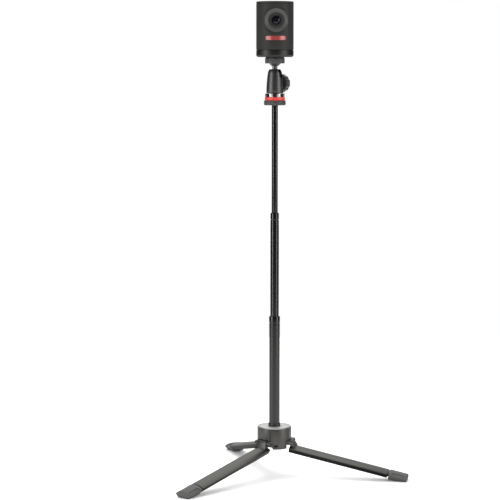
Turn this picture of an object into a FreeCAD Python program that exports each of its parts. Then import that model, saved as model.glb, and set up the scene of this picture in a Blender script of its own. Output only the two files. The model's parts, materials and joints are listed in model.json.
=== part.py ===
# Webcam on a telescopic tabletop tripod, millimetres, +Z up.
# The origin is on the ground, straight below the pole's axis. The webcam looks along -Y.
import FreeCAD, Part
import math
import os

os.makedirs("parts", exist_ok=True)

# ---- fits ----------------------------------------------------------------------------
seat_gap = 0.02          # radial gap of a glued, pressed or screwed seat
running_gap = 0.05       # radial gap of a pin or slide that moves in its hole
moving_gap = 0.35        # space between pieces that pass each other
thread_radius = 3.175    # quarter-inch camera thread

# ---- legs ----------------------------------------------------------------------------
leg_azimuths = {"right": -11.35, "front_left": -131.35, "rear": 108.65}
leg_slope = 12.33            # degrees below level when the leg is open
leg_length = 167.2           # from the hinge to the tip, along the leg
leg_crown_offset = 4.1       # hinge axis above the leg's outer face
leg_thickness = 8.0
leg_half_angle = 37.75       # half of the arc that the leg's section spans
leg_skin = 2.4               # wall over the hollow underside
leg_edge_radius = 0.8
leg_rib_count = 5
leg_rib_width = 1.8
foot_length = 26.0
foot_depth = 12.2            # foot from its outer face to its inner flat
foot_skin = 0.35             # how far the rubber stands proud of the arm
foot_tip_height = 8.75        # outer face of the tip above the ground
foot_groove = 1.8            # narrow neck between arm and foot
foot_tang_length = 17.0
foot_corner = 2.2            # rounding of the tip's corners
foot_notch_depth = 0.9       # thumb notches along both edges of the foot
foot_notch_angle = 23.0

# ---- hinges --------------------------------------------------------------------------
pivot_radius = 24.7          # hinge axis from the pole's axis
pin_radius = 1.5
knuckle_radius = 3.2
knuckle_half_width = 7.8
lug_thickness = 4.0
ear_rise = 3.4               # ears' flat top above the hinge axis
heel_height = 3.4            # stop heel above the hinge axis
wall_to_pivot = 2.8          # hub's stop wall behind the hinge axis

# ---- hub -----------------------------------------------------------------------------
hub_radius = 23.7 
hub_height = 29.7
hub_below_pivot = 8.4
hub_chamfer = 1.2
hub_recess_depth = 1.2
hub_rim = 2.1
hub_plate_thickness = 1.0
hub_wall = 3.1
strap_slot_width = 8.8       # slot for a strap in the hub's front
strap_slot_height = 3.4
strap_slot_depth = 3.4
strap_slot_rise = 4.2        # slot above the hub's bottom
hub_web = 3.5                # floor that carries the pole
screw_radius = 2.5
screw_head_radius = 4.25
screw_head_height = 4.6
cover_radius = 9.6
cover_thickness = 1.3
collar_radius = 8.3
collar_height = 4.4

# ---- pole ----------------------------------------------------------------------------
lower_radius = 7.5
mid_radius = 5.82
top_radius = 4.2
tube_wall = 0.85
lower_exposed = 152.8        # hub top to the lower tube's mouth
mid_exposed = 142.8
top_exposed = 147.0
mid_left_out = 3.8           # left showing when the section is pushed in
top_left_out = 6.0
plug_length = 6.5
crimp_below_mouth = 9.5
crimp_width = 2.0
crimp_depth = 0.3
mouth_bush_length = 7.0
sleeve_length = 12.0
spring_length = 5.0
spring_thickness = 0.3

# ---- pole head, ball head ------------------------------------------------------------
disc_radius = 14.8
disc_height = 6.4
disc_serrations = 48
red_ring_radius = 13.75
red_ring_height = 4.6
lock_ring_radius = 13.45
lock_ring_height = 4.8
lock_ring_lobes = 8
housing_gap = 0.5
housing_base_radius = 11.6
housing_top_radius = 9.75
housing_height = 32.4
ball_radius = 7.4
ball_below_top = 8.2         # ball centre under the housing's top
stem_radius = 3.7
stem_exposed = 4.4
dome_height = 6.4            # rounded top of the housing
slit_count = 6
slit_width = 0.9
slit_depth = 5.5
knob_azimuth = 62.0
knob_radius = 12.7
knob_height = 9.0
knob_lobes = 12
knob_below_top = 19.2        # knob axis under the housing's top
knob_reach = 13.2            # knob's inner face from the pole's axis

# ---- camera platform -----------------------------------------------------------------
wheel_radius = 13.4
wheel_height = 7.5
wheel_boss_height = 3.4
wheel_boss_radius = 8.2
wheel_serrations = 40
pad_thickness = 1.2
pad_radius = 12.6
camera_screw_reach = 5.6     # thread above the pad

# ---- webcam --------------------------------------------------------------------------
cam_radius = 25.4
cam_height = 65.0            # the body above its stand
cam_yaw = 3.3                # degrees towards +X
cam_wall = 2.0
stand_height = 9.8
stand_pad_depth = 1.0
stand_insert_radius = 6.0
stand_insert_length = 7.0
cap_height = 3.4
floor_thickness = 2.5
bezel_radius = 16.0
bezel_proud = 0.6            # lens bezel in front of the round body
bezel_depth = 8.5
bezel_inner_radius = 9.7
lens_below_top = 25.6
lens_radius = 6.0
barrel_length = 15.0
board_thickness = 1.6
window_width = 28.7
window_height = 5.7
window_below_top = 49.4
window_thickness = 1.4
battery_radius = 9.0
battery_length = 48.0
battery_back = 8.5           # battery's axis behind the webcam's axis
port_frame_width = 22.0
port_frame_height = 15.0
port_frame_depth = 3.0
port_frame_rise = 11.0       # frame's centre above the stand
usb_width = 7.6
usb_height = 2.9
usb_depth = 6.0
card_slot_width = 11.5
card_slot_height = 1.4
button_radius = 4.4
button_length = 3.2
button_travel = 0.6
button_rise = 48.0           # button's axis above the stand
screw_spacing_radius = 20.0

# ---- heights that follow -------------------------------------------------------------
slope = math.radians(leg_slope)
pivot_z = foot_tip_height + leg_length * math.sin(slope) + leg_crown_offset * math.cos(slope)
hub_bottom = pivot_z - hub_below_pivot
hub_top = hub_bottom + hub_height
leg_radius = pivot_radius - leg_crown_offset
pocket_top = pivot_z + 0.9
web_bottom = pocket_top - 0.4
tube_foot = web_bottom + hub_web
lower_mouth = hub_top + lower_exposed
mid_mouth = lower_mouth + mid_exposed
disc_bottom = mid_mouth + top_exposed
disc_top = disc_bottom + disc_height
red_ring_top = disc_top + red_ring_height
lock_ring_bottom = red_ring_top + 0.1
lock_ring_top = lock_ring_bottom + lock_ring_height
housing_bottom = lock_ring_top + housing_gap
housing_top = housing_bottom + housing_height
ball_z = housing_top - ball_below_top
boss_bottom = housing_top + stem_exposed
wheel_bottom = boss_bottom + wheel_boss_height
wheel_top = wheel_bottom + wheel_height
pad_top = wheel_top + pad_thickness
stand_top = pad_top + stand_height
cam_top = stand_top + cam_height
lens_z = cam_top - lens_below_top
window_z = cam_top - window_below_top
face_y = -(cam_radius + bezel_proud)

Z = FreeCAD.Vector(0, 0, 1)
ORIGIN = FreeCAD.Vector(0, 0, 0)
sizes = []


def vec(x, y, z):
    return FreeCAD.Vector(x, y, z)


def disc(radius, bottom, top, x=0, y=0):
    return Part.makeCylinder(radius, top - bottom, vec(x, y, bottom))


def ring(outer, inner, bottom, top, x=0, y=0):
    return disc(outer, bottom, top, x, y).cut(disc(inner, bottom - 1, top + 1, x, y))


def block(x0, x1, y0, y1, z0, z1):
    return Part.makeBox(x1 - x0, y1 - y0, z1 - z0, vec(x0, y0, z0))


def across(radius, half, x, z):
    """A rod along Y, centred on y = 0."""
    return Part.makeCylinder(radius, 2 * half, vec(x, -half, z), vec(0, 1, 0))


def forward(radius, y0, y1, x, z):
    """A rod along Y from y0 to y1."""
    return Part.makeCylinder(radius, y1 - y0, vec(x, y0, z), vec(0, 1, 0))


def prism_xz(points, half):
    """An outline in X and Z, extruded along Y on both sides."""
    wire = Part.makePolygon([vec(x, -half, z) for x, z in points + points[:1]])
    return Part.Face(wire).extrude(vec(0, 2 * half, 0))


def revolved(points):
    """An outline of (radius, height) pairs turned about Z."""
    wire = Part.makePolygon([vec(r, 0, z) for r, z in points + points[:1]])
    return Part.Face(wire).revolve(ORIGIN, Z, 360)


def sector(outer, inner, half_angle, bottom, top):
    """A length of ring-sector bar about Z, centred on +X."""
    angle = math.radians(half_angle)
    far = 2 * outer / math.cos(angle)
    wedge = Part.makePolygon([
        vec(0, 0, bottom),
        vec(far * math.cos(angle), -far * math.sin(angle), bottom),
        vec(far * math.cos(angle), far * math.sin(angle), bottom),
        vec(0, 0, bottom),
    ])
    bar = ring(outer, inner, bottom, top)
    return bar.common(Part.Face(wedge).extrude(vec(0, 0, top - bottom)))


def turned(shape, degrees, centre=ORIGIN, axis=Z):
    copy = shape.copy()
    copy.rotate(centre, axis, degrees)
    return copy


def around(shape, count, start=0.0):
    return [turned(shape, start + 360.0 * i / count) for i in range(count)]


def serrated(radius, bottom, top, count, notch_radius, reach):
    """A disc whose rim has round notches cut along its height."""
    notch = disc(notch_radius, bottom - 1, top + 1, x=radius + notch_radius - reach)
    return disc(radius, bottom, top).cut(Part.makeCompound(around(notch, count)))


def long_edges(shape, length):
    """Edges parallel to Z at least this long."""
    found = []
    for edge in shape.Edges:
        a = edge.Vertexes[0].Point
        b = edge.Vertexes[-1].Point
        if abs(abs(a.z - b.z) - edge.Length) < 1e-4 and edge.Length > length:
            found.append(edge)
    return found


def save(name, shape):
    solids = shape.Solids
    if not solids or not shape.isValid():
        raise RuntimeError(name + " is not a valid solid")
    shape.exportStep("parts/" + name + ".step")
    sizes.append((name, len(solids), sum(s.Volume for s in solids)))


# ---- legs ----------------------------------------------------------------------------
# A leg is drawn folded, pointing straight down beside the pole's axis at azimuth 0,
# and is then swung open about its hinge and turned to its place.
def opened(shape):
    return turned(shape, leg_slope - 90, vec(pivot_radius, 0, pivot_z), vec(0, 1, 0))


def leg_arm():
    top = pivot_z + 0.33
    seam = pivot_z - (leg_length - foot_length)
    neck = seam + foot_groove
    inner = leg_radius - leg_thickness
    bar = sector(leg_radius, inner, leg_half_angle, neck, top)
    bar = bar.makeFillet(leg_edge_radius, long_edges(bar, leg_length / 3))
    hollow_bottom = neck + 8
    hollow_top = top - 14
    hollow_angle = leg_half_angle - 9
    hollow = sector(leg_radius - leg_skin, inner - 3, hollow_angle, hollow_bottom, hollow_top)
    pitch = (hollow_top - hollow_bottom) / (leg_rib_count + 1)
    for i in range(leg_rib_count):
        z = hollow_bottom + pitch * (i + 1)
        rib = block(0, leg_radius, -leg_radius, leg_radius, z, z + leg_rib_width)
        hollow = hollow.cut(rib)
    bar = bar.cut(hollow)
    tang_angle = leg_half_angle - 10
    tang = sector(leg_radius - 1.2, inner + 1, tang_angle, seam - foot_tang_length, neck)
    knuckle = across(knuckle_radius, knuckle_half_width, pivot_radius, pivot_z)
    web = prism_xz([
        (leg_radius - 2, top),
        (pivot_radius, top),
        (pivot_radius + knuckle_radius * 0.94, pivot_z - 1.1),
        (leg_radius + 0.1, pivot_z - 8.0),
        (leg_radius - 2, pivot_z - 8.0),
    ], knuckle_half_width)
    folded = bar.fuse(tang).fuse(knuckle).fuse(web)
    arm = opened(folded)
    heel = block(
        pivot_radius - wall_to_pivot + moving_gap, pivot_radius + 1,
        -knuckle_half_width, knuckle_half_width,
        pivot_z, pivot_z + heel_height,
    )
    arm = arm.fuse(heel)
    hole = across(pin_radius + running_gap, leg_radius, pivot_radius, pivot_z)
    return arm.cut(hole).removeSplitter()


def leg_foot():
    seam = pivot_z - (leg_length - foot_length)
    tip = pivot_z - leg_length
    outer = leg_radius + foot_skin
    boot = sector(outer, 1, leg_half_angle + 1, tip, seam)
    boot = boot.cut(block(-outer, leg_radius - foot_depth, -outer, outer, tip - 1, seam + 1))
    tang_angle = leg_half_angle - 10
    inner = leg_radius - leg_thickness + 1
    tang = sector(leg_radius - 1.2, inner, tang_angle, seam - foot_tang_length, seam + 1)
    corners = []
    for edge in boot.Edges:
        middle = edge.CenterOfMass
        level = abs(edge.Vertexes[0].Point.z - edge.Vertexes[-1].Point.z) < 1e-6
        if level and middle.z < tip + 1e-6 and middle.x > leg_radius - foot_depth + 0.5:
            corners.append(edge)
    boot = boot.makeFillet(foot_corner, corners)
    wide = sector(outer + 1, outer - foot_notch_depth, leg_half_angle + 5, tip + 4.0, seam - 4.5)
    middle = sector(outer + 2, outer - 2, foot_notch_angle, tip, seam)
    foot = opened(boot.cut(tang).cut(wide.cut(middle)))
    reach = pivot_radius + leg_length
    return foot.cut(block(0, 2 * reach, -reach, reach, -reach, 0))


def save_legs():
    arm = leg_arm()
    foot = leg_foot()
    pins = []
    lug_outer = knuckle_half_width + 0.4 + lug_thickness
    pin = across(pin_radius, lug_outer + 0.1, pivot_radius, pivot_z)
    for name, azimuth in leg_azimuths.items():
        save("leg_arm_" + name, turned(arm, azimuth))
        save("leg_foot_" + name, turned(foot, azimuth))
        pins.append(turned(pin, azimuth))
    save("hinge_pins", Part.makeCompound(pins))


# ---- hub -----------------------------------------------------------------------------
def hinge_lugs():
    """The two ears that hold one leg's pin."""
    inner = knuckle_half_width + 0.4
    outer = inner + lug_thickness
    ear = prism_xz([
        (hub_radius - 7, pocket_top + 0.1),
        (pivot_radius - 2.0, pocket_top + 0.1),
        (pivot_radius + knuckle_radius * 0.97, pivot_z + 0.8),
        (pivot_radius + 2.1, pivot_z + 2.8),
        (pivot_radius + 0.4, pivot_z + ear_rise),
        (hub_radius - 7, pivot_z + ear_rise),
    ], outer)
    both = ear.fuse(across(knuckle_radius, outer, pivot_radius, pivot_z))
    gap = block(hub_radius - 8, pivot_radius + 9, -inner, inner, pivot_z - 9, pivot_z + 12)
    return both.cut(gap)


def hub_body():
    body = revolved([
        (0, hub_bottom), (hub_radius - hub_chamfer, hub_bottom),
        (hub_radius, hub_bottom + hub_chamfer), (hub_radius, hub_top - hub_chamfer),
        (hub_radius - hub_chamfer, hub_top), (0, hub_top),
    ])
    arm_reach = pivot_radius - (leg_radius - leg_thickness) * math.cos(math.radians(leg_half_angle))
    half_width = leg_radius * math.sin(math.radians(leg_half_angle)) + 0.6
    knuckle_slot = block(
        pivot_radius - wall_to_pivot, hub_radius + 9,
        -knuckle_half_width - 0.4, knuckle_half_width + 0.4,
        hub_bottom - 1, pivot_z + heel_height + 1.0,
    )
    knuckle_sweep = across(knuckle_radius + moving_gap, knuckle_half_width + 0.4, pivot_radius, pivot_z)
    pin_hole = across(pin_radius + seat_gap, hub_radius, pivot_radius, pivot_z)
    sweep = across(arm_reach + moving_gap, half_width, pivot_radius, pivot_z)
    below = block(0, 4 * hub_radius, -hub_radius, hub_radius, hub_bottom - 20, pocket_top)
    folded_room = block(
        pivot_radius - arm_reach - moving_gap, hub_radius + 1, -half_width, half_width,
        hub_bottom - 1, pivot_z,
    )
    pocket = sweep.common(below).fuse(folded_room)
    for azimuth in leg_azimuths.values():
        body = body.cut(turned(pocket, azimuth))
    for azimuth in leg_azimuths.values():
        body = body.fuse(turned(hinge_lugs(), azimuth))
    for azimuth in leg_azimuths.values():
        for cut in (knuckle_slot, knuckle_sweep, pin_hole):
            body = body.cut(turned(cut, azimuth))
    strap_low = hub_bottom + strap_slot_rise
    strap_slot = block(
        -strap_slot_width / 2, strap_slot_width / 2, -hub_radius - 1, strap_slot_depth - hub_radius,
        strap_low, strap_low + strap_slot_height,
    )
    body = body.cut(strap_slot)
    top_recess = disc(hub_radius - hub_rim, hub_top - hub_recess_depth, hub_top + 1)
    body = body.cut(top_recess)
    cavity_bottom = pivot_z + 8.5
    cavity_top = hub_top - hub_recess_depth + 0.1
    cavity = ring(hub_radius - hub_wall - 0.6, lower_radius + 3.0, cavity_bottom, cavity_top)
    body = body.cut(cavity)
    socket = disc(lower_radius + seat_gap, tube_foot, hub_top + 1)
    bolt = disc(screw_radius + 0.2, hub_bottom - 1, hub_top)
    counterbore = disc(screw_head_radius + 0.4, hub_bottom - 1, web_bottom)
    cover_seat = disc(cover_radius + seat_gap, hub_bottom - 1, hub_bottom + cover_thickness)
    for cut in (socket, bolt, counterbore, cover_seat):
        body = body.cut(cut)
    return body.removeSplitter()


def hub_screw():
    """Cap screw that pulls the pole's plug down onto the hub's floor."""
    head_bottom = web_bottom - screw_head_height
    head = disc(screw_head_radius, head_bottom, web_bottom)
    socket = disc(2.0, head_bottom - 1, head_bottom + 2.6)
    shank = disc(screw_radius, web_bottom, tube_foot + plug_length - 1)
    return head.cut(socket).fuse(shank)


def save_hub():
    save("hub_body", hub_body())
    plate_top = hub_top - hub_recess_depth + hub_plate_thickness
    plate_bottom = plate_top - hub_plate_thickness
    plate = ring(hub_radius - hub_rim - 0.15, collar_radius - 0.5, plate_bottom, plate_top)
    save("hub_top_plate", plate)
    save("hub_bottom_cover", disc(cover_radius, hub_bottom, hub_bottom + cover_thickness))
    save("hub_screw", hub_screw())
    collar = revolved([
        (lower_radius + seat_gap, plate_top), (collar_radius, plate_top),
        (collar_radius, plate_top + collar_height - 1.2),
        (lower_radius + 0.3, plate_top + collar_height),
        (lower_radius + seat_gap, plate_top + collar_height),
    ])
    save("pole_collar", collar)


# ---- pole ----------------------------------------------------------------------------
def pole_tube(radius, foot, mouth, chamfer):
    """A drawn tube with a rolled crimp under its mouth that stops the section inside it."""
    inner = radius - tube_wall
    crimp = mouth - crimp_below_mouth
    half = crimp_width / 2
    return revolved([
        (inner, foot), (radius, foot),
        (radius, crimp - half), (radius - crimp_depth, crimp), (radius, crimp + half),
        (radius, mouth - chamfer), (radius - min(chamfer, tube_wall) * 0.7, mouth),
        (inner, mouth),
        (inner, crimp + half), (inner - crimp_depth, crimp), (inner, crimp - half),
    ])


def section_foot(outer_mouth):
    """Where the section inside a tube ends, just under that tube's crimp."""
    stop = outer_mouth - crimp_below_mouth - crimp_width / 2 - moving_gap
    return stop - sleeve_length, stop


def save_slide(name, outer_radius, radius, outer_mouth):
    """The friction sleeve and its split spring at the foot of a section, and the mouth bush."""
    foot, stop = section_foot(outer_mouth)
    bore = outer_radius - tube_wall
    middle = (foot + stop) / 2
    sleeve = ring(bore - running_gap, radius + seat_gap, foot, stop)
    groove_inner = bore - running_gap - spring_thickness
    half = spring_length / 2
    groove = ring(bore + 1, groove_inner, middle - half, middle + half)
    save(name + "_friction_sleeve", sleeve.cut(groove))
    spring = ring(bore - running_gap, groove_inner + seat_gap, middle - half + 0.1, middle + half - 0.1)
    save(name + "_friction_spring", spring.cut(block(0, bore + 1, -1, 1, foot, stop)))
    bush = ring(bore - seat_gap, radius + running_gap, outer_mouth - mouth_bush_length, outer_mouth - 0.2)
    save(name + "_mouth_bush", bush)


def save_pole():
    save("lower_tube", pole_tube(lower_radius, tube_foot, lower_mouth, 0.8))
    plug_radius = lower_radius - tube_wall - seat_gap
    plug = ring(plug_radius, screw_radius + seat_gap, tube_foot, tube_foot + plug_length)
    save("lower_tube_plug", plug)
    mid_foot = section_foot(lower_mouth)[0]
    save("mid_tube", pole_tube(mid_radius, mid_foot, mid_mouth, 3.0))
    save_slide("mid", lower_radius, mid_radius, lower_mouth)
    top_foot = section_foot(mid_mouth)[0]
    save("top_tube", ring(top_radius, top_radius - tube_wall, top_foot, disc_top - 1.8))
    save_slide("top", mid_radius, top_radius, mid_mouth)


# ---- pole head -----------------------------------------------------------------------
stud_shank = top_radius - tube_wall - seat_gap
spigot_radius = 6.0
floor_thick = 3.2
spigot_top = housing_bottom + floor_thick + 0.2
notch_azimuth = knob_azimuth - 90
knob_z = housing_top - knob_below_top
cup_radius = ball_radius + 1.4
cup_top = ball_z - stem_radius - moving_gap - 0.4


def save_pole_head():
    chamfer = 0.7
    rim = serrated(disc_radius, disc_bottom, disc_top, disc_serrations, 0.8, 0.35)
    cone = revolved([
        (0, disc_bottom), (disc_radius - chamfer, disc_bottom), (disc_radius, disc_bottom + chamfer),
        (disc_radius, disc_top - chamfer), (disc_radius - chamfer, disc_top), (0, disc_top),
    ])
    body = rim.common(cone)
    body = body.cut(disc(top_radius + seat_gap, disc_bottom - 1, disc_top - 1.8))
    save("pole_disc", body.cut(disc(stud_shank + seat_gap, disc_bottom, disc_top + 1)))
    shank = disc(stud_shank, disc_bottom - 10, disc_top)
    save("pole_stud", shank.fuse(disc(thread_radius, disc_top, disc_top + 6.0)))
    base = revolved([
        (0, disc_top), (red_ring_radius - 0.5, disc_top), (red_ring_radius, disc_top + 0.5),
        (red_ring_radius, red_ring_top - 0.5), (red_ring_radius - 0.5, red_ring_top),
        (spigot_radius, red_ring_top), (spigot_radius, spigot_top), (0, spigot_top),
    ])
    base = base.cut(disc(thread_radius + seat_gap, disc_top - 1, disc_top + 6.2))
    base = base.cut(disc(2.5 + seat_gap, spigot_top - 5.6, spigot_top + 1))
    save("red_base_ring", base)
    head = disc(7.6, spigot_top, spigot_top + 1.6)
    save("pan_retainer", head.fuse(disc(2.5, spigot_top - 5.4, spigot_top)))
    lobed = serrated(lock_ring_radius, lock_ring_bottom, lock_ring_top, lock_ring_lobes, 3.2, 1.1)
    save("pan_lock_ring", lobed.cut(disc(spigot_radius + running_gap, red_ring_top, lock_ring_top + 1)))


# ---- ball head -----------------------------------------------------------------------
def head_housing():
    shoulder = housing_top - dome_height
    lip = 7.0
    start = vec(housing_top_radius, 0, shoulder)
    bulge = vec(housing_top_radius - 0.85, 0, housing_top - 2.7)
    outline = [
        Part.LineSegment(vec(0, 0, housing_bottom), vec(housing_base_radius - 0.5, 0, housing_bottom)),
        Part.LineSegment(
            vec(housing_base_radius - 0.5, 0, housing_bottom),
            vec(housing_base_radius, 0, housing_bottom + 0.8),
        ),
        Part.Arc(
            vec(housing_base_radius, 0, housing_bottom + 0.8),
            vec((housing_base_radius + housing_top_radius) / 2 + 0.45, 0, (housing_bottom + shoulder) / 2),
            start,
        ),
        Part.Arc(start, bulge, vec(lip + 0.3, 0, housing_top)),
        Part.LineSegment(vec(lip + 0.3, 0, housing_top), vec(0, 0, housing_top)),
        Part.LineSegment(vec(0, 0, housing_top), vec(0, 0, housing_bottom)),
    ]
    wire = Part.Wire([piece.toShape() for piece in outline])
    body = Part.Face(wire).revolve(ORIGIN, Z, 360)
    boss = Part.makeCylinder(5.4, knob_reach - moving_gap - 5, vec(5, 0, knob_z), vec(1, 0, 0))
    body = body.fuse(turned(boss, knob_azimuth))
    bore = disc(cup_radius + seat_gap, housing_bottom + floor_thick, cup_top + 0.1)
    seat = Part.makeSphere(ball_radius + running_gap, vec(0, 0, ball_z))
    mouth = disc(ball_radius + running_gap, cup_top, ball_z)
    opening = Part.makeCone(6.1, lip, housing_top - ball_z - 4.1, vec(0, 0, ball_z + 4.1))
    above = disc(lip, housing_top - 0.001, housing_top + 1)
    pan_bore = disc(spigot_radius + running_gap, housing_bottom - 1, housing_top - 12)
    screw_hole = Part.makeCylinder(3.0 + running_gap, knob_reach, vec(4, 0, knob_z), vec(1, 0, 0))
    for cut in (bore, seat, mouth, opening, above, pan_bore, turned(screw_hole, knob_azimuth)):
        body = body.cut(cut)
    half = stem_radius + moving_gap
    notch = block(0, housing_base_radius + 3, -half, half, ball_z, housing_top + 1)
    notch_round = Part.makeCylinder(half, housing_base_radius + 3, vec(0, 0, ball_z), vec(1, 0, 0))
    body = body.cut(turned(notch.fuse(notch_round), notch_azimuth))
    slit = block(
        housing_top_radius - 4, housing_top_radius + 3, -slit_width / 2, slit_width / 2,
        housing_top - slit_depth, housing_top + 1,
    )
    for cut in around(slit, slit_count, notch_azimuth)[1:]:
        body = body.cut(cut)
    return body.removeSplitter()


def save_ball_head():
    save("head_housing", head_housing())
    plunger_bottom = spigot_top + 4.0
    plunger_top = knob_z + 3.6
    plunger = disc(cup_radius - running_gap, plunger_bottom, plunger_top)
    pocket = Part.makeCylinder(3.0 + moving_gap, cup_radius + 2, vec(2, 0, knob_z), vec(1, 0, 0))
    save("clamp_plunger", plunger.cut(turned(pocket, knob_azimuth)))
    cup = disc(cup_radius - running_gap, plunger_top, cup_top)
    cup = cup.cut(Part.makeSphere(ball_radius + running_gap, vec(0, 0, ball_z)))
    save("friction_cup", cup.cut(disc(3.5, plunger_top - 1, ball_z)))
    low = spigot_top + 1.7
    rise = (plunger_bottom - low) / 2
    lower = revolved([(4.0, low), (7.6, low + rise - 0.6), (7.6, low + rise), (4.0, low + 0.6)])
    upper = revolved([
        (4.0, plunger_bottom - 0.6), (7.6, low + rise + 0.05),
        (7.6, low + rise + 0.65), (4.0, plunger_bottom),
    ])
    save("disc_springs", Part.makeCompound([lower, upper]))
    grip = disc(knob_radius, 0, knob_height)
    flute = disc(2.1, -1, knob_height + 1, x=knob_radius + 1.1)
    grip = grip.cut(Part.makeCompound(around(flute, knob_lobes)))
    shape = revolved([
        (0, 0), (knob_radius - 1.6, 0), (knob_radius, 1.4), (knob_radius, knob_height - 1.0),
        (knob_radius - 1.0, knob_height), (0, knob_height),
    ])
    grip = grip.common(shape).cut(disc(3.0 + seat_gap, -1, knob_height - 2.5))
    grip.rotate(ORIGIN, vec(0, 1, 0), 90)
    grip.translate(vec(knob_reach, 0, knob_z))
    save("lock_knob", turned(grip, knob_azimuth))
    screw = Part.makeCylinder(3.0, knob_reach + knob_height - 2.5 - 3.0, vec(3.0, 0, knob_z), vec(1, 0, 0))
    save("lock_knob_screw", turned(screw, knob_azimuth))


def save_platform():
    ball = Part.makeSphere(ball_radius, vec(0, 0, ball_z))
    neck_top = wheel_bottom + 1.0
    save("ball_stem", ball.fuse(disc(stem_radius, ball_z, neck_top)).removeSplitter())
    rim = serrated(wheel_radius, wheel_bottom, wheel_top, wheel_serrations, 0.9, 0.4)
    outline = revolved([
        (0, wheel_bottom), (wheel_radius - 0.6, wheel_bottom), (wheel_radius, wheel_bottom + 0.6),
        (wheel_radius, wheel_top - 0.6), (wheel_radius - 0.6, wheel_top), (0, wheel_top),
    ])
    taper = Part.makeCone(stem_radius + 1.0, wheel_boss_radius, wheel_boss_height, vec(0, 0, boss_bottom))
    wheel = rim.common(outline).fuse(taper)
    wheel = wheel.cut(disc(stem_radius + seat_gap, boss_bottom - 1, neck_top))
    save("platform_wheel", wheel.cut(disc(thread_radius + seat_gap, boss_bottom, wheel_top + 1)))
    save("platform_pad", ring(pad_radius, thread_radius + 0.3, wheel_top, pad_top))
    save("camera_screw", disc(thread_radius, neck_top, pad_top + camera_screw_reach))


# ---- webcam --------------------------------------------------------------------------
# The webcam is drawn looking along -Y and then turned a little about the pole's axis.
def save_cam(name, shape):
    save(name, turned(shape, cam_yaw))


def lathe_forward(points):
    """An outline of (radius, y) pairs turned about the lens axis."""
    wire = Part.makePolygon([vec(r, y, lens_z) for r, y in points + points[:1]])
    return Part.Face(wire).revolve(vec(0, 0, lens_z), vec(0, 1, 0), 360)


def save_stand():
    pad_step = pad_top + stand_pad_depth
    body = revolved([
        (stand_insert_radius + seat_gap, pad_top), (13.5, pad_top), (13.5, pad_step),
        (cam_radius - 0.9, pad_step), (cam_radius, pad_step + 0.9),
        (cam_radius, stand_top - 0.7), (cam_radius - 0.8, stand_top - 0.7),
        (cam_radius - 0.8, stand_top), (stand_insert_radius + seat_gap, stand_top),
    ])
    hollow = ring(cam_radius - 3.6, 9.0, pad_step + 2.4, stand_top + 1)
    posts = around(disc(3.4, pad_step, stand_top + 1, x=screw_spacing_radius - 1.5), 3, 30)
    holes = around(disc(1.4 + seat_gap, pad_top, cam_top, x=screw_spacing_radius - 1.5), 3, 30)
    heads = around(disc(2.7, pad_top, pad_step + 1.6, x=screw_spacing_radius - 1.5), 3, 30)
    body = body.cut(hollow.cut(Part.makeCompound(posts)))
    for cut in holes + heads:
        body = body.cut(cut)
    save_cam("stand_body", body)
    insert = ring(stand_insert_radius, thread_radius + running_gap, pad_top, pad_top + stand_insert_length)
    save_cam("stand_insert", insert)
    save_cam("stand_pad", ring(cam_radius - 1.4, 14.0, pad_top, pad_step))
    screws = []
    for angle in (30, 150, 270):
        head = disc(2.6, pad_step + 0.1, pad_step + 1.6, x=screw_spacing_radius - 1.5)
        shank = disc(1.4, pad_step + 1.6, stand_top + floor_thickness + 3.5, x=screw_spacing_radius - 1.5)
        screws.append(turned(head.fuse(shank), angle))
    save_cam("stand_screws", Part.makeCompound(screws))


def window_arc(outer, inner, margin, height):
    """A curved bar behind the status window, centred on the front."""
    half = math.degrees(math.asin((window_width / 2 + margin) / cam_radius))
    bar = sector(outer, inner, half, window_z - height / 2 - margin, window_z + height / 2 + margin)
    return turned(bar, -90)


def cam_shell():
    body = disc(cam_radius, stand_top, cam_top - cap_height)
    inner = cam_radius - cam_wall
    body = body.cut(disc(inner, stand_top + floor_thickness, cam_top))
    boss_x = screw_spacing_radius - 1.5
    bosses = around(disc(3.0, stand_top + 1, stand_top + floor_thickness + 4, x=boss_x), 3, 30)
    for boss in bosses:
        body = body.fuse(boss)
    hole_top = stand_top + floor_thickness + 3.6
    for hole in around(disc(1.4 + seat_gap, stand_top - 1, hole_top, x=boss_x), 3, 30):
        body = body.cut(hole)
    body = body.cut(forward(bezel_radius + seat_gap, face_y - 1, -4, 0, lens_z))
    body = body.cut(window_arc(cam_radius + 1, inner - 1, running_gap, window_height))
    half = port_frame_width / 2 + running_gap
    rise = stand_top + port_frame_rise
    tall = port_frame_height / 2 + running_gap
    body = body.cut(block(-half, half, 0, cam_radius + 1, rise - tall, rise + tall))
    return body.cut(forward(button_radius + moving_gap, 0, cam_radius + 1, 0, stand_top + button_rise))


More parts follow.
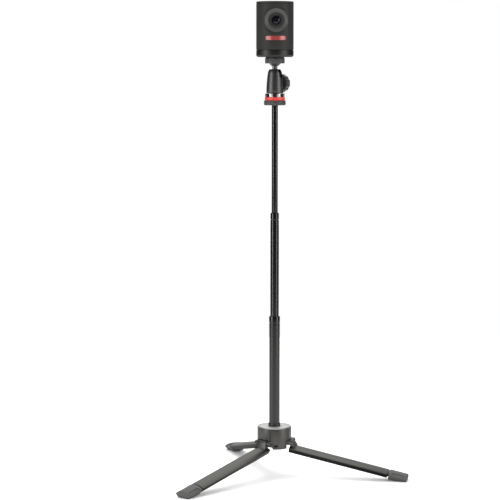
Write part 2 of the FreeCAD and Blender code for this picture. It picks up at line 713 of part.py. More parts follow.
def save_lens():
    rim = bezel_radius - 1.3
    deep = face_y + 2.4
    bezel = lathe_forward([
        (bezel_inner_radius, deep), (bezel_inner_radius + 0.9, deep), (rim, face_y + 0.35),
        (rim + 0.4, face_y), (bezel_radius - 0.3, face_y), (bezel_radius, face_y + 0.3),
        (bezel_radius, face_y + bezel_depth), (bezel_inner_radius, face_y + bezel_depth),
    ])
    led_x = -(bezel_radius - 3.2) * math.sin(math.radians(26))
    led_z = lens_z + (bezel_radius - 3.2) * math.cos(math.radians(26))
    bezel = bezel.cut(forward(0.9 + seat_gap, face_y - 1, face_y + 6, led_x, led_z))
    save_cam("lens_bezel", bezel)
    save_cam("status_led", forward(0.9, face_y + 0.9, face_y + 5.8, led_x, led_z))
    front = face_y + 1.2
    back = front + barrel_length
    outer = bezel_inner_radius - seat_gap
    barrel = lathe_forward([
        (lens_radius + seat_gap, front + 2.4), (lens_radius + seat_gap, front + 1.4),
        (outer - 1.1, front), (outer, front), (outer, back), (4.2, back),
        (4.2, back - 3.0), (lens_radius - 0.7, back - 3.0), (lens_radius - 0.7, back - 6.0),
        (4.2, back - 6.0), (4.2, front + 5.4), (lens_radius + seat_gap, front + 5.4),
    ])
    save_cam("lens_barrel", barrel)
    dome = Part.makeSphere(lens_radius * 1.6, vec(0, front + 2.4 + lens_radius * 1.6 - 1.3, lens_z))
    glass = forward(lens_radius, front + 1.0, front + 5.3, 0, lens_z).common(dome)
    save_cam("front_lens", glass)
    save_cam("rear_lens", forward(lens_radius - 0.75, back - 5.9, back - 3.1, 0, lens_z))
    chip_face = back + 1.0
    board_face = chip_face + 1.1
    chip = block(-4.5, 4.5, chip_face, board_face, lens_z - 4.5, lens_z + 4.5)
    save_cam("image_sensor", chip)
    board_back = board_face + board_thickness
    save_cam("sensor_board", block(-11, 11, board_face, board_back, lens_z - 11, lens_z + 11))


def save_window():
    face = cam_radius - 0.2
    back = face - window_thickness
    save_cam("status_window", window_arc(face, back, 0, window_height))
    guide_back = cam_radius - cam_wall - 1.6
    save_cam("light_guide", window_arc(back - seat_gap, guide_back, -0.6, window_height))
    half = 12.0
    y = -math.sqrt(guide_back ** 2 - (window_width / 2 - 0.6) ** 2) + 0.3
    save_cam("led_board", block(-half, half, y, y + board_thickness, window_z - 5, window_z + 5))


def save_inside():
    board_front = battery_back - battery_radius - 1.2 - board_thickness
    low = stand_top + floor_thickness + 5
    save_cam("main_board", block(-17, 17, board_front, board_front + board_thickness, low, cam_top - 9))
    battery_bottom = stand_top + floor_thickness + 0.5
    cell = disc(battery_radius, battery_bottom, battery_bottom + battery_length, y=battery_back)
    terminal = disc(3.0, battery_bottom, battery_bottom + battery_length + 1.2, y=battery_back)
    save_cam("battery", cell.fuse(terminal))


def save_ports():
    rise = stand_top + port_frame_rise
    half = port_frame_width / 2
    tall = port_frame_height / 2
    plate = block(-half, half, 0, cam_radius + 1, rise - tall, rise + tall)
    face = cam_radius - 0.3
    plate = plate.common(ring(face, face - port_frame_depth, rise - tall, rise + tall))
    usb_z = rise + 2.6
    card_z = rise - 3.6
    usb_hole = block(
        -usb_width / 2 - seat_gap, usb_width / 2 + seat_gap, 0, cam_radius + 1,
        usb_z - usb_height / 2 - seat_gap, usb_z + usb_height / 2 + seat_gap,
    )
    card_hole = block(
        -card_slot_width / 2, card_slot_width / 2, 0, cam_radius + 1,
        card_z - card_slot_height / 2, card_z + card_slot_height / 2,
    )
    save_cam("port_frame", plate.cut(usb_hole).cut(card_hole))
    usb_face = face - 0.6
    wall = 0.35
    socket = block(
        -usb_width / 2, usb_width / 2, usb_face - usb_depth, usb_face,
        usb_z - usb_height / 2, usb_z + usb_height / 2,
    )
    hollow = block(
        -usb_width / 2 + wall, usb_width / 2 - wall, usb_face - usb_depth + 0.8, usb_face + 1,
        usb_z - usb_height / 2 + wall, usb_z + usb_height / 2 - wall,
    )
    tongue = block(
        -usb_width / 2 + 1.4, usb_width / 2 - 1.4, usb_face - usb_depth + 0.5, usb_face - 1.0,
        usb_z - 0.35, usb_z + 0.35,
    )
    save_cam("usb_inlet", socket.cut(hollow).fuse(tongue))
    card_half = card_slot_width / 2 + 1.5
    card_front = math.sqrt((face - port_frame_depth) ** 2 - card_half ** 2) - 0.1
    body = block(-card_half, card_half, card_front - 3.2, card_front, card_z - 1.6, card_z + 1.6)
    slot = block(
        -card_slot_width / 2, card_slot_width / 2, card_front - 2.6, card_front + 1,
        card_z - card_slot_height / 2, card_z + card_slot_height / 2,
    )
    save_cam("card_socket", body.cut(slot))


def save_button():
    z = stand_top + button_rise
    outer = cam_radius + 0.6
    cap = forward(button_radius, outer - button_length, outer, 0, z)
    cap = cap.makeFillet(0.7, [max(cap.Edges, key=lambda edge: edge.CenterOfMass.y)])
    flange_front = cam_radius - cam_wall - 1.2
    flange = forward(button_radius + 1.0, flange_front - 1.2, flange_front, 0, z)
    core = forward(button_radius - 1.0, flange_front - 1.2, outer - 1, 0, z)
    save_cam("power_button", cap.fuse(flange).fuse(core).removeSplitter())
    switch_face = flange_front - 1.2 - button_travel - 0.3
    switch = forward(2.0, switch_face - 1.6, switch_face, 0, z)
    board = block(-6, 6, switch_face - 1.6 - 1.0, switch_face - 1.6, z - 6, z + 6)
    save_cam("button_switch", switch.fuse(board))


def save_webcam():
    save_stand()
    save_cam("cam_shell", cam_shell())
    seam = cam_top - cap_height
    rounding = 1.3
    cap = disc(cam_radius, seam, cam_top)
    rims = [edge for edge in cap.Edges if abs(edge.CenterOfMass.z - cam_top) < 1e-6 and edge.Closed]
    cap = cap.makeFillet(rounding, rims[:1])
    groove = ring(cam_radius + 1, cam_radius - 0.45, seam - 0.001, seam + 0.5)
    inner = cam_radius - cam_wall - seat_gap
    spigot = ring(inner, inner - 1.4, seam - 2.6, seam)
    spigot = spigot.cut(block(-bezel_radius, bezel_radius, -cam_radius, 0, seam - 3, seam))
    save_cam("cam_cap", cap.cut(groove).fuse(spigot))
    save_lens()
    save_window()
    save_inside()
    save_ports()
    save_button()


save_hub()
save_legs()
save_pole()
save_pole_head()
save_ball_head()
save_platform()
save_webcam()

for name, count, volume in sizes:
    print("%-26s %2d solid(s) %10.1f mm3" % (name, count, volume))
print(len(sizes), "nodes;", "top at %.1f mm" % cam_top)
print("hinge axis at %.2f, ball at %.2f, knob at %.2f" % (pivot_z, ball_z, knob_z))
print("slides %.1f and %.1f" % (mid_exposed - mid_left_out, top_exposed - top_left_out))
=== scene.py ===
# %% [markdown]
# # A webcam on a telescopic tabletop tripod
# This lesson dresses a finished engineering model for a studio picture. The frame
# already knows every size and every joint, so each cell asks it where a piece is and
# builds the visible skin there. Everything is in metres, with +Z up.

# %% Load the frame
import json
import math

import bpy
from mathutils import Matrix, Vector

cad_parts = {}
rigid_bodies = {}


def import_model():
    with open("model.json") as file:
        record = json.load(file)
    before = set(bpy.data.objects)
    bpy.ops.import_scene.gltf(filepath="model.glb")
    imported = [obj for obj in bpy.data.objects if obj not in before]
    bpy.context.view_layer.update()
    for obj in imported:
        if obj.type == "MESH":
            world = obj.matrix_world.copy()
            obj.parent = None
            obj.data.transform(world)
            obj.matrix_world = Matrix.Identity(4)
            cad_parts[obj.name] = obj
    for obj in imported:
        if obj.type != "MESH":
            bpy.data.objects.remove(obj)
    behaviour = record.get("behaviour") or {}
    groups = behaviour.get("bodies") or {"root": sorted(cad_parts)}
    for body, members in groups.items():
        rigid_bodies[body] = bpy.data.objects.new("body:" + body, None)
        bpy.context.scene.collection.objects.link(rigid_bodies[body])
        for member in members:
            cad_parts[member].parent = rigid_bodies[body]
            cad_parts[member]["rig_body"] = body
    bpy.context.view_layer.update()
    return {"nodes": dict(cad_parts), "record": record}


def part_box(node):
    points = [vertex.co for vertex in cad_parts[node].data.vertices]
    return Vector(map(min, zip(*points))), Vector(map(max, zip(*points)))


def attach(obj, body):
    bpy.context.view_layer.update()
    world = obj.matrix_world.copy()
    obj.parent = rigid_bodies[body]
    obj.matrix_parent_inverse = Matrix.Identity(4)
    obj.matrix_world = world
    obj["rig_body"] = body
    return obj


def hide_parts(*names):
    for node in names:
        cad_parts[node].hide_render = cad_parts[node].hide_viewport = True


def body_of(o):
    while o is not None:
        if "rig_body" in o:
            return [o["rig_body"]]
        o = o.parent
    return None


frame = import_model()
MM = 0.001

# %% [markdown]
# ## Looking at it
# A product picture is taken from a few metres away with a long lens, which keeps the
# pole straight. The camera stands a little left of the pole at the height of the ball
# head and tips down by a few degrees, so that no lens shift is needed.

# %% The camera
CAMERA_DISTANCE = 2.5
CAMERA_LEFT = 0.0338
CAMERA_HEIGHT = 0.565
CAMERA_PITCH = math.radians(5.73)
FOCAL_IN_FRAMES = 3.66

camera_data = bpy.data.cameras.new("camera")
camera_data.angle = 2 * math.atan(0.5 / FOCAL_IN_FRAMES)
camera = bpy.data.objects.new("camera", camera_data)
camera.location = (-CAMERA_LEFT, -CAMERA_DISTANCE, CAMERA_HEIGHT)
camera.rotation_euler = (math.pi / 2 - CAMERA_PITCH, 0, 0)
bpy.context.scene.collection.objects.link(camera)
bpy.context.scene.camera = camera
print("camera at", [round(value, 3) for value in camera.location])

# %% [markdown]
# ## The studio
# Dark satin metal shows what stands round it more than it shows its own colour. Two
# tall softboxes, left and right of the camera, give every tube its pair of bright
# stripes. A wide light overhead fills the tops of the legs, and one behind draws a thin
# line down each edge. The floor and the surround are white, but reflections see a dark
# room in place of the surround, which keeps the dark metal dark.

# %% Floor, surround and lights
def soft_light(name, place, target, width, height, power):
    """One rectangular softbox that faces a point."""
    data = bpy.data.lights.new(name, "AREA")
    data.shape = "RECTANGLE"
    data.size = width
    data.size_y = height
    data.energy = power
    lamp = bpy.data.objects.new(name, data)
    lamp.location = place
    lamp.rotation_euler = (Vector(target) - Vector(place)).to_track_quat("-Z", "Y").to_euler()
    bpy.context.scene.collection.objects.link(lamp)
    return lamp


soft_light("left_box", (-2.0, -1.15, 0.75), (0, 0, 0.35), 0.5, 1.7, 27)
soft_light("right_box", (2.0, -1.15, 0.75), (0, 0, 0.35), 0.5, 1.7, 23)
soft_light("top_box", (0, 0.8, 2.3), (0, 0, 0), 2.8, 3.6, 62)
soft_light("back_box", (0, 2.3, 0.95), (0, 0, 0.4), 2.8, 1.7, 13)

SURROUND = (1.0, 1.0, 1.0)
DARK_ROOM = (0.06, 0.06, 0.06)
world = bpy.data.worlds.new("studio")
world.use_nodes = True
bpy.context.scene.world = world
background = world.node_tree.nodes["Background"]
seen = world.node_tree.nodes.new("ShaderNodeLightPath")
blend = world.node_tree.nodes.new("ShaderNodeMix")
blend.data_type = "RGBA"
blend.inputs["A"].default_value = (*SURROUND, 1)
blend.inputs["B"].default_value = (*DARK_ROOM, 1)
world.node_tree.links.new(seen.outputs["Is Glossy Ray"], blend.inputs["Factor"])
world.node_tree.links.new(blend.outputs["Result"], background.inputs["Color"])
bpy.context.scene.view_settings.view_transform = "Standard"

FLOOR_SIZE = 2.6
bpy.ops.mesh.primitive_plane_add(size=FLOOR_SIZE)
floor = bpy.context.object
floor.name = "floor"
print("lights:", len(bpy.data.lights))

# %% [markdown]
# ## Shader arithmetic
# A material is a small sum of patterns. Written as boxes and wires such a sum is hard
# to read, so this class wraps a socket and lets ordinary operators add the Math nodes.
# One method makes any other node from its type, its settings and its inputs.

# %% The socket class
class Wire:
    """A shader socket that can be added, multiplied and so on."""

    def __init__(self, tree, socket):
        self.tree = tree
        self.socket = socket

    def math(self, operation, other=0.5):
        """One Math node; operations of a single value leave the other one unread."""
        return node(self.tree, "ShaderNodeMath", {"operation": operation}, {0: self, 1: other})[0]

    def __add__(self, other):
        return self.math("ADD", other)

    def __mul__(self, other):
        return self.math("MULTIPLY", other)

    def __sub__(self, other):
        return self.math("SUBTRACT", other)

    def __rsub__(self, other):
        return (self * -1.0) + other

    def __truediv__(self, other):
        return self.math("DIVIDE", other)

    def __pow__(self, other):
        return self.math("POWER", other)

    def __gt__(self, other):
        return self.math("GREATER_THAN", other)

    def __lt__(self, other):
        return self.math("LESS_THAN", other)


def node(tree, kind, settings=None, inputs=None):
    """Any node: settings first, then values or wires for its inputs. Gives its outputs."""
    made = tree.nodes.new(kind)
    for key, value in (settings or {}).items():
        setattr(made, key, value)
    for key, value in (inputs or {}).items():
        if isinstance(value, Wire):
            tree.links.new(value.socket, made.inputs[key])
        else:
            made.inputs[key].default_value = value
    return [Wire(tree, output) for output in made.outputs]

# %% [markdown]
# ## Surface recipes
# Nearly every finish here is one of three things: anodised metal, moulded plastic or
# rubber. Each recipe starts from a plain shader and adds what the eye looks for: a
# faint cloudiness in the colour, streaks along the way the part was drawn or turned,
# and a fine texture that breaks up the highlight.

# %% Starting a material
def new_material(name, roughness, metallic=0.0, specular=0.5):
    """A material, its tree, its shader and the object coordinates in metres."""
    material = bpy.data.materials.new(name)
    material.use_nodes = True
    tree = material.node_tree
    shader = tree.nodes["Principled BSDF"]
    shader.inputs["Roughness"].default_value = roughness
    shader.inputs["Metallic"].default_value = metallic
    shader.inputs["Specular IOR Level"].default_value = specular
    place = node(tree, "ShaderNodeTexCoord")[3]
    return material, tree, shader, place


def stretched(tree, place, x, y, z):
    """Coordinates scaled along each axis, as pattern cells per metre."""
    return node(tree, "ShaderNodeMapping", {"vector_type": "POINT"},
                {"Vector": place, "Scale": (x, y, z)})[0]


def noise(tree, where, detail, rough=0.5):
    """A cloudy pattern from 0 to 1 over scaled coordinates."""
    return node(tree, "ShaderNodeTexNoise", {"noise_dimensions": "3D"},
                {"Vector": where, "Scale": 1.0, "Detail": detail, "Roughness": rough})[0]


def between(tree, factor, low, high):
    """A colour that runs from low to high as factor goes from 0 to 1."""
    made = node(tree, "ShaderNodeMix", {"data_type": "RGBA"},
                {"Factor": factor, "A": (*low, 1), "B": (*high, 1)})
    return made[2]


def put(tree, shader, key, wire):
    """Wires a pattern to one of the shader's inputs."""
    tree.links.new(wire.socket, shader.inputs[key])


def bumped(tree, shader, height, distance):
    """Feeds a height pattern to the shader's normal through a Bump node."""
    bump = node(tree, "ShaderNodeBump", None,
                {"Height": height, "Distance": distance, "Strength": 1.0})[0]
    put(tree, shader, "Normal", bump)


def scaled(colour, amount):
    """A lighter or darker version of a colour."""
    return tuple(min(channel * amount, 1.0) for channel in colour)


# %% Anodised and turned metal
METAL_CLOUDS = 45
METAL_TONES = (0.82, 1.2)
PLASTIC_CLOUDS = 38
PLASTIC_TONES = (0.85, 1.18)


def metal(name, colour, roughness, grain, grain_depth, metallic=1.0):
    """Metal with a grain that may be long in one direction, and clouds of handling marks."""
    material, tree, shader, place = new_material(name, roughness, metallic)
    grain_pattern = noise(tree, stretched(tree, place, *grain), detail=3.0)
    cloud = noise(tree, stretched(tree, place, *[METAL_CLOUDS] * 3), detail=4.0, rough=0.6)
    tone = cloud * 0.6 + grain_pattern * 0.4
    low, high = [scaled(colour, amount) for amount in METAL_TONES]
    put(tree, shader, "Base Color", between(tree, tone, low, high))
    put(tree, shader, "Roughness", grain_pattern * 0.12 + cloud * 0.1 + (roughness - 0.11))
    bumped(tree, shader, grain_pattern, grain_depth * MM)
    return material


# %% Moulded plastic and rubber
def moulded(name, colour, roughness, cell, depth, specular=0.5):
    """Plastic or rubber from a textured mould; cell is the texture's size in millimetres."""
    material, tree, shader, place = new_material(name, roughness, 0.0, specular)
    per_metre = 1 / (cell * MM)
    pits = noise(tree, stretched(tree, place, *[per_metre] * 3), detail=2.0)
    cloud = noise(tree, stretched(tree, place, *[PLASTIC_CLOUDS] * 3), detail=3.0)
    tone = pits * 0.35 + cloud * 0.65
    low, high = [scaled(colour, amount) for amount in PLASTIC_TONES]
    put(tree, shader, "Base Color", between(tree, tone, low, high))
    put(tree, shader, "Roughness", cloud * 0.14 + pits * 0.06 + (roughness - 0.1))
    bumped(tree, shader, pits, depth * MM)
    return material


# %% Finishes that change from place to place
def apart(tree, place):
    """The object coordinates as three wires, in millimetres."""
    parts = node(tree, "ShaderNodeSeparateXYZ", None, {"Vector": place})
    return [part * 1000.0 for part in parts]


def hump(distance, width):
    """1 at no distance, falling smoothly to 0 at the width."""
    reach = (distance / width) ** 2.0
    return (1.0 - reach).math("MAXIMUM", 0.0)


def repainted(tree, shader, mask, colour):
    """Mixes another colour over the one that a finish already has."""
    under = Wire(tree, shader.inputs["Base Color"].links[0].from_socket)
    over = node(tree, "ShaderNodeMix", {"data_type": "RGBA"},
                {"Factor": mask, "A": under, "B": (*colour, 1)})[2]
    put(tree, shader, "Base Color", over)


def parts_of(material):
    """A finished material's tree, shader and object coordinates, for painting over it."""
    tree = material.node_tree
    where = next(item for item in tree.nodes if item.type == "TEX_COORD")
    return tree, tree.nodes["Principled BSDF"], Wire(tree, where.outputs["Object"])


def rimmed(material, height, colour):
    """Polishes everything above a height, as on a turned rim."""
    tree, shader, place = parts_of(material)
    z = apart(tree, place)[2]
    repainted(tree, shader, z > height, colour)
    return material


def painted_highlight_crowns(material, radius, lobes, colour):
    """Paints the crowns of a lobed ring as pale pinkish bare metal, a painted highlight with a painted
    reflection of the red ring, and leaves the flutes between them black.
    """
    tree, shader, place = parts_of(material)
    x, y = apart(tree, place)[:2]
    out = (x * x + y * y).math("SQRT")
    wave = (y.math("ARCTAN2", x) * float(lobes)).math("COSINE")
    highlight_crown = (wave < 0.05) * (out > radius)
    repainted(tree, shader, highlight_crown, colour)
    put(tree, shader, "Metallic", highlight_crown)
    return material


def painted_glow_and_end_shade(material, spots, width, end, colour):
    """Paints paler zones where the lamps behind a window would shine through, a painted glow, and
    painted shade at the window's dark ends.
    """
    tree, shader, place = parts_of(material)
    x = apart(tree, place)[0]
    glow = hump(x - spots[0], width) + hump(x - spots[1], width)
    repainted(tree, shader, glow * glow * 0.7, colour)
    repainted(tree, shader, x.math("ABSOLUTE") > end, scaled(colour, 0.18))
    return material


# %% [markdown]
# ## Which finish goes where
# The pole is drawn tube, so its grain runs up and down. The legs and the hub are
# castings with a fine blasted skin under grey anodising. The ring under the ball head
# is the one spot of colour on the stand.

# %% The finishes
finish = {
    "hub_metal": metal("hub_metal", (0.075, 0.074, 0.07), 0.42, (1400, 1400, 1400), 0.008),
    "hub_plate": metal("hub_plate", (0.42, 0.42, 0.41), 0.38, (2500, 2500, 2500), 0.003, metallic=0.6),
    "leg_metal": metal("leg_metal", (0.105, 0.104, 0.098), 0.46, (1400, 1400, 1400), 0.01),
    # Near-black metal, used as painted shade on the faces of the legs that look down.
    "leg_painted_shade": metal("leg_painted_shade", (0.012, 0.012, 0.0115), 0.55, (1400, 1400, 1400), 0.01),
    "foot_rubber": moulded("foot_rubber", (0.052, 0.052, 0.05), 0.62, 0.35, 0.03),
    "tube_metal": metal("tube_metal", (0.045, 0.045, 0.044), 0.23, (2200, 2200, 30), 0.003),
    "black_plastic": moulded("black_plastic", (0.014, 0.014, 0.014), 0.5, 0.3, 0.01),
    "low_friction_plastic": moulded("low_friction_plastic", (0.09, 0.09, 0.088), 0.5, 0.4, 0.006),
    "red_metal": moulded("red_metal", (0.52, 0.034, 0.026), 0.42, 0.3, 0.004),
    "head_metal": metal("head_metal", (0.10, 0.10, 0.102), 0.46, (2600, 2600, 2600), 0.008),
    "knob_plastic": moulded("knob_plastic", (0.028, 0.028, 0.028), 0.45, 0.35, 0.015),
    "steel": metal("steel", (0.13, 0.13, 0.127), 0.38, (300, 300, 4000), 0.002),
    "spring_steel": metal("spring_steel", (0.3, 0.3, 0.29), 0.3, (300, 300, 3000), 0.002),
    "brass": metal("brass", (0.72, 0.52, 0.22), 0.28, (300, 300, 3000), 0.002),
    "pad_rubber": moulded("pad_rubber", (0.016, 0.016, 0.016), 0.65, 0.3, 0.02),
    "stand_metal": metal("stand_metal", (0.05, 0.05, 0.049), 0.48, (200, 200, 3500), 0.004),
    "cam_plastic": moulded("cam_plastic", (0.020, 0.0197, 0.018), 0.52, 0.28, 0.012, specular=0.2),
    "bezel_plastic": moulded("bezel_plastic", (0.05, 0.05, 0.049), 0.42, 0.25, 0.006, specular=0.3),
    "barrel_plastic": moulded("barrel_plastic", (0.02, 0.02, 0.02), 0.5, 0.25, 0.005, specular=0.3),
    "red_window": moulded("red_window", (0.22, 0.02, 0.02), 0.4, 1.5, 0.002),
    "led_lens": moulded("led_lens", (0.07, 0.07, 0.068), 0.5, 0.5, 0.002),
    "circuit_board": moulded("circuit_board", (0.02, 0.12, 0.05), 0.35, 0.8, 0.01),
    "battery_wrap": moulded("battery_wrap", (0.04, 0.1, 0.28), 0.3, 0.8, 0.004),
    "chip": moulded("chip", (0.02, 0.02, 0.02), 0.35, 0.3, 0.004),
    "lens_glass": moulded("lens_glass", (0.003, 0.003, 0.005), 0.16, 2.0, 0.0, specular=0.35),
    "floor": moulded("floor", (0.95, 0.95, 0.95), 0.7, 6.0, 0.0),
}
floor.data.materials.append(finish["floor"])

HUB_RIM = 1.15
# The next two numbers place the painted highlight crowns on the lock ring, and the three after them
# place the painted glow and shaded ends of the red window.
HIGHLIGHT_CROWN_RADIUS = 12.6
LOBES = 8
PAINTED_GLOW_SPOTS = (-8.9, 9.6)
PAINTED_GLOW_REACH = 5.0
SHADED_END_FROM = 13.3

hub_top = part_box("hub_body")[1][2] / MM
rimmed(finish["hub_metal"], hub_top - HUB_RIM, (0.42, 0.42, 0.40))
# The lock ring's pale pinkish crowns are a painted highlight and a painted reflection of the red ring.
finish["lock_ring_painted_highlights"] = painted_highlight_crowns(
    moulded("lock_ring_painted_highlights", (0.005, 0.005, 0.005), 0.42, 0.4, 0.004, specular=0.2),
    HIGHLIGHT_CROWN_RADIUS, LOBES, (0.55, 0.49, 0.48))
# The red window gets a painted glow in two spots and painted shade at both ends.
painted_glow_and_end_shade(finish["red_window"], PAINTED_GLOW_SPOTS, PAINTED_GLOW_REACH, SHADED_END_FROM, (0.50, 0.19, 0.185))

slot_of = {entry["node"]: entry["material_slot"] for entry in frame["record"]["subparts"]}
for name, piece in frame["nodes"].items():
    piece.data.materials.clear()
    piece.data.materials.append(finish[slot_of[name]])
print("finishes:", len(finish))

# %% [markdown]
# ## Modelling by hand
# Everything round starts as a circle and is drawn on from point to point, as on a
# lathe. Everything cast or moulded gets its edges rolled over by a bevel. These small
# helpers hold the steps that each piece repeats.

# %% Helpers for edit mode
def calm():
    """Object mode with nothing selected."""
    if bpy.context.mode != "OBJECT":
        bpy.ops.object.mode_set(mode="OBJECT")
    bpy.ops.object.select_all(action="DESELECT")


def choose(piece):
    """Makes one piece the only selected one and the active one."""
    calm()
    piece.select_set(True)
    bpy.context.view_layer.objects.active = piece


def rolled(piece, width, segments=2, sharp=38):
    """Rolls over every edge sharper than an angle, then shades the rest smooth."""
    choose(piece)
    modifier = piece.modifiers.new("rolled", "BEVEL")
    modifier.width = width * MM
    modifier.segments = segments
    modifier.limit_method = "ANGLE"
    modifier.angle_limit = math.radians(sharp)
    bpy.ops.object.modifier_apply(modifier=modifier.name)
    bpy.ops.object.shade_smooth_by_angle(angle=math.radians(34))
    return piece


def stands_for(piece, *names):
    """Hangs a finished piece on the body of the CAD nodes it replaces, in their finish."""
    owner = frame["nodes"][names[0]]
    piece.data.materials.clear()
    piece.data.materials.append(finish[special.get(names[0], slot_of[names[0]])])
    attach(piece, body_of(owner)[0])
    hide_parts(*names)
    return piece


def lathe(name, outline, closed=True, steps=128):
    """Turns an outline of (radius, height) points about Z. A closed outline is a ring."""
    calm()
    radius, height = outline[0]
    fill = "NOTHING" if closed else "NGON"
    bpy.ops.mesh.primitive_circle_add(
        vertices=steps, radius=radius * MM, location=(0, 0, height * MM), fill_type=fill)
    piece = bpy.context.object
    piece.name = name
    bpy.ops.object.mode_set(mode="EDIT")
    bpy.ops.mesh.select_all(action="SELECT")
    stops = outline[1:] + outline[:1] if closed else outline[1:]
    for next_radius, next_height in stops:
        rise = (next_height - height) * MM
        grow = next_radius / radius
        bpy.ops.mesh.extrude_region_move(TRANSFORM_OT_translate={"value": (0, 0, rise)})
        bpy.ops.transform.resize(value=(grow, grow, 1), center_override=(0, 0, next_height * MM))
        radius, height = next_radius, next_height
    bpy.ops.mesh.select_all(action="SELECT")
    bpy.ops.mesh.remove_doubles(threshold=0.5e-6)
    bpy.ops.mesh.normals_make_consistent(inside=False)
    settled(piece)
    return piece


def settled(piece):
    """Leaves edit mode and puts the object's origin back at the ground point."""
    choose(piece)
    bpy.ops.object.transform_apply(location=True, rotation=True, scale=True)


def softened(name, width, segments=2, sharp=38):
    """The CAD solid's own shape with its triangles merged and its edges rolled over."""
    source = frame["nodes"][name]
    piece = source.copy()
    piece.data = source.data.copy()
    piece.name = name + "_skin"
    piece.parent = None
    piece.matrix_world = Matrix.Identity(4)
    bpy.context.scene.collection.objects.link(piece)
    choose(piece)
    bpy.ops.object.mode_set(mode="EDIT")
    bpy.ops.mesh.select_all(action="SELECT")
    bpy.ops.mesh.remove_doubles(threshold=1e-6)
    bpy.ops.mesh.dissolve_limited(angle_limit=math.radians(0.8))
    bpy.ops.object.mode_set(mode="OBJECT")
    return stands_for(rolled(piece, width, segments, sharp), name)


def span(name):
    """A CAD node's lowest and highest corner, in millimetres."""
    low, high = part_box(name)
    return [value / MM for value in low], [value / MM for value in high]


# %% [markdown]
# ## Castings and mouldings
# The hub, legs, feet, knob, wheel and the webcam's shell come out of a mould or off a
# mill, where no edge stays sharp.

# %% Rolled edges
# The pan lock ring takes the black finish with painted highlight crowns.
special = {"pan_lock_ring": "lock_ring_painted_highlights"}
rolls = {
    "hub_body": 0.35, "pole_disc": 0.22, "pan_lock_ring": 0.3, "head_housing": 0.3,
    "lock_knob": 0.4, "platform_wheel": 0.22, "stand_body": 0.25, "red_base_ring": 0.2,
    "cam_shell": 0.18, "cam_cap": 0.25, "port_frame": 0.25, "power_button": 0.3,
    "usb_inlet": 0.12, "card_socket": 0.1, "hub_top_plate": 0.15, "pole_collar": 0.2,
    "platform_pad": 0.2, "stand_pad": 0.2, "hub_bottom_cover": 0.25, "status_window": 0.15,
    "hinge_pins": 0.25, "stand_screws": 0.1, "hub_screw": 0.15, "light_guide": 0.1,
}
for leg in ("right", "front_left", "rear"):
    rolls["leg_arm_" + leg] = 0.3
    rolls["leg_foot_" + leg] = 0.35
for name, width in rolls.items():
    softened(name, width)
print("rolled:", len(rolls))

# %% [markdown]
# The legs' side walls and hollow undersides get a near-black finish that is painted shade, and only
# the broad outer face keeps the grey metal. The faces that look down are picked by their normals.

# %% Painted shade on the undersides of the legs
LOOKS_DOWN = -0.2
for leg in ("right", "front_left", "rear"):
    piece = bpy.data.objects["leg_arm_" + leg + "_skin"]
    # Faces that look down get the near-black finish as painted shade.
    piece.data.materials.append(finish["leg_painted_shade"])
    for face in piece.data.polygons:
        if face.normal.z < LOOKS_DOWN:
            face.material_index = 1
    print(piece.name, "black faces:", sum(face.material_index for face in piece.data.polygons))

# %% [markdown]
# ## The pole
# Each tube is drawn as one closed outline: up the outside, in at the crimp, over the
# rounded mouth and down the bore.

# %% Three tubes
WALL = 0.85
CRIMP_DROP = 9.5
CRIMP_DEPTH = 0.3
LIP = 0.55


def tube(node_name, mouth_round):
    """A drawn tube with a crimp below its mouth, in place of a CAD tube."""
    low, high = span(node_name)
    radius = (high[0] - low[0]) / 2
    bore = radius - WALL
    foot, mouth = low[2], high[2]
    crimp = mouth - CRIMP_DROP
    outline = [(radius - 0.2, foot), (radius, foot + 0.3)]
    for step in range(9):
        angle = math.pi * step / 8
        outline.append((radius - CRIMP_DEPTH * math.sin(angle), crimp - math.cos(angle)))
    for step in range(5):
        angle = math.pi / 2 * step / 4
        inward, down = LIP * (1 - math.cos(angle)), mouth_round * (1 - math.sin(angle))
        outline.append((radius - inward, mouth - down))
    outline += [(bore + 0.12, mouth), (bore, mouth - 0.15), (bore, foot + 0.2), (bore + 0.1, foot)]
    piece = lathe(node_name + "_drawn", outline, steps=96)
    choose(piece)
    bpy.ops.object.shade_smooth_by_angle(angle=math.radians(30))
    return stands_for(piece, node_name)


tube("lower_tube", 0.8)
tube("mid_tube", 3.0)
low, high = span("top_tube")
outer = (high[0] - low[0]) / 2
inner = outer - WALL
piece = lathe("top_tube_drawn", [
    (outer - 0.2, low[2]), (outer, low[2] + 0.2), (outer, high[2] - 0.2), (outer - 0.2, high[2]),
    (inner + 0.1, high[2]), (inner, high[2] - 0.1), (inner, low[2] + 0.1), (inner + 0.1, low[2]),
], steps=96)
stands_for(rolled(piece, 0.05), "top_tube")
print("tubes drawn")

# %% [markdown]
# ## The ball and its neck
# A ball with a waisted neck: the neck leaves the ball in a small fillet and opens out
# again where it enters the platform.

# %% Ball
low, high = span("ball_stem")
BALL = 7.4
NECK = 3.7
WAIST = 0.25
ball_centre = low[2] + BALL
meeting = math.asin((NECK + 0.15) / BALL)
outline = [(0.3, ball_centre - math.sqrt(BALL ** 2 - 0.3 ** 2))]
for step in range(1, 49):
    angle = math.pi * step / 50
    if angle < math.pi - meeting:
        outline.append((BALL * math.sin(angle), ball_centre - BALL * math.cos(angle)))
neck_foot = ball_centre + BALL * math.cos(meeting)
outline += [
    (NECK + 0.12, neck_foot + 0.05), (NECK - 0.02, neck_foot + 0.5),
    (NECK - WAIST, neck_foot + 1.4), (NECK - WAIST, high[2] - 2.6),
    (NECK - 0.02, high[2] - 1.8), (NECK - 0.02, high[2]),
]
piece = lathe("ball_stem_turned", outline, closed=False, steps=96)
choose(piece)
bpy.ops.object.shade_smooth_by_angle(angle=math.radians(30))
stands_for(piece, "ball_stem")
print("ball centre at height", round(ball_centre, 1))

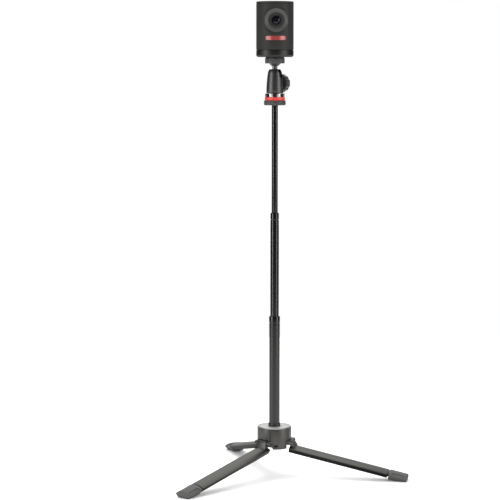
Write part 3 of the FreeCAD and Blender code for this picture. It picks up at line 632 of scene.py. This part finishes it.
# %% [markdown]
# ## The lens
# The bezel slopes in to a black barrel, whose mouth is stepped so that it throws no
# glare, and the front glass is a shallow dome deep inside it.

# %% Bezel, barrel and glass
FACE = 26.0
YAW = math.radians(3.3)
low, high = span("lens_bezel")
lens_height = (low[2] + high[2]) / 2
BEZEL = (high[2] - low[2]) / 2
BEZEL_DEPTH = 8.5
DISH = 2.4
MOUTH = 9.7
LEDGE = 0.9


def facing(piece):
    """Lays a piece that was turned about Z along the lens axis."""
    choose(piece)
    piece.rotation_euler = (math.pi / 2, 0, YAW)
    piece.location = (0, 0, lens_height * MM)
    bpy.ops.object.transform_apply(location=True, rotation=True, scale=True)
    bpy.ops.object.shade_smooth_by_angle(angle=math.radians(28))
    return piece


outline = [(MOUTH, FACE - DISH), (MOUTH + LEDGE, FACE - DISH)]
for step in range(1, 8):
    share = step / 8
    outline.append((MOUTH + LEDGE + share * 4.1, FACE - DISH + 2.05 * share ** 1.25))
outline += [
    (BEZEL - 1.3, FACE - 0.35), (BEZEL - 0.95, FACE - 0.08), (BEZEL - 0.6, FACE),
    (BEZEL - 0.3, FACE - 0.03), (BEZEL - 0.09, FACE - 0.12), (BEZEL, FACE - 0.35),
    (BEZEL, FACE - BEZEL_DEPTH), (MOUTH, FACE - BEZEL_DEPTH),
]
stands_for(facing(lathe("lens_bezel_turned", outline)), "lens_bezel")

front = FACE - 1.2
back = front - 15.0
GLASS = 6.0
SEAT = GLASS + 0.02
BORE = 4.2
STEPS = 5
STEPS_DEEP = 1.4
outline = [(SEAT, front - 2.4), (SEAT, front - STEPS_DEEP)]
for step in range(STEPS):
    near = SEAT + 2.56 * (step + 0.15) / STEPS
    level = front - STEPS_DEEP + STEPS_DEEP * (step + 1) / STEPS
    outline += [(near, level - STEPS_DEEP / STEPS), (near, level)]
outline += [
    (MOUTH - 0.15, front), (MOUTH - 0.02, front - 0.13), (MOUTH - 0.02, back), (BORE, back),
    (BORE, back + 3.0), (GLASS - 0.7, back + 3.0), (GLASS - 0.7, back + 6.0),
    (BORE, back + 6.0), (BORE, front - 5.4), (SEAT, front - 5.4),
]
stands_for(facing(lathe("lens_barrel_turned", outline)), "lens_barrel")

CURVE = 9.6
centre = front - 10.7
outline = [(GLASS, front - 5.3)]
for step in range(13):
    radius = GLASS * math.cos(math.pi / 2 * step / 12.4)
    outline.append((radius, centre + math.sqrt(CURVE ** 2 - radius ** 2)))
stands_for(facing(lathe("front_lens_ground", outline, closed=False)), "front_lens")
print("lens at height", round(lens_height, 1))
